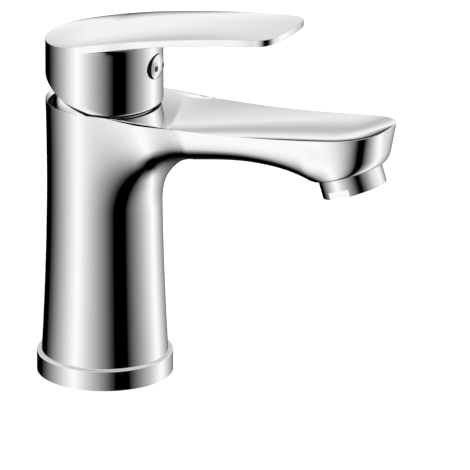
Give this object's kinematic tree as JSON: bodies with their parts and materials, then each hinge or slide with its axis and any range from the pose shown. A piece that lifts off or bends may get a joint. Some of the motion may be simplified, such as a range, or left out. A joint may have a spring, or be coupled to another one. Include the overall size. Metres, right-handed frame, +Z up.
{
  "type": "bathroom mixer faucet",
  "caption": "Single-lever basin mixer tap: waisted round column on a base ring, forward spout with a dished top and angled aerator, and a flat lever that lifts and swivels.",
  "frame": {"origin": "centre of the base ring on the deck surface, on the column's axis", "axes": "+Z up along the column, -Y forward along the spout and the lever, +X to the faucet's left hand side, which a person standing in front of the spout sees on their right"},
  "size_m": [0.0556, 0.159, 0.161],
  "materials": {
    "chrome_body": "bright chrome plating over a brass casting",
    "chrome_handle": "bright chrome plating over a zinc casting",
    "chrome_trim": "bright chrome plating on small turned parts",
    "brass": "turned bare brass",
    "steel": "plain stainless steel",
    "rubber": "matt black nitrile rubber",
    "white_plastic": "natural white acetal",
    "grey_plastic": "grey glass-filled nylon",
    "ceramic": "lapped alumina ceramic, ivory white",
    "ceramic_dark": "lapped alumina ceramic, warm grey",
    "cap": "chromed plastic cap",
    "blue_dot": "glossy blue enamel dot",
    "red_dot": "glossy red enamel dot"
  },
  "bodies": {
    "faucet_body": {"body": "chrome_body", "base_ring": "chrome_trim", "base_seal": "rubber", "cartridge_base": "white_plastic", "port_seals": "rubber", "cartridge_housing": "white_plastic", "fixed_ceramic_disc": "ceramic", "limit_ring": "grey_plastic", "cartridge_nut": "brass", "cover_seal": "rubber", "dome_cover": "chrome_trim", "aerator_housing": "chrome_trim", "aerator_insert": "white_plastic", "aerator_screen": "white_plastic", "flow_regulator": "grey_plastic", "aerator_washer": "rubber"},
    "swivel": {"cartridge_rotor": "grey_plastic", "rotor_seal": "rubber", "pivot_pin": "steel"},
    "lever": {"handle": "chrome_handle", "handle_insert": "brass", "set_screw": "steel", "spindle": "brass", "indicator_cap": "cap", "cold_mark": "blue_dot", "hot_mark": "red_dot"},
    "mixing_disc": {"disc_carrier": "grey_plastic", "moving_ceramic_disc": "ceramic_dark"}
  },
  "joints": [
    {"name": "handle_swivel", "type": "hinge", "parent": "faucet_body", "child": "swivel", "pos_m": [0, 0, 0.11], "axis": [0, 0, 1], "range_deg": [-45, 45]},
    {"name": "handle_lift", "type": "hinge", "parent": "swivel", "child": "lever", "pos_m": [0, 0, 0.11], "axis": [-1, 0, 0], "range_deg": [0, 25]},
    {"name": "disc_slide", "type": "slide", "parent": "swivel", "child": "mixing_disc", "axis": [0, -1, 0], "range_m": [0, 0.004]}
  ],
  "couplings": [
    {"joint": "disc_slide", "follows": "handle_lift", "m_per_rad": 0.009}
  ]
}
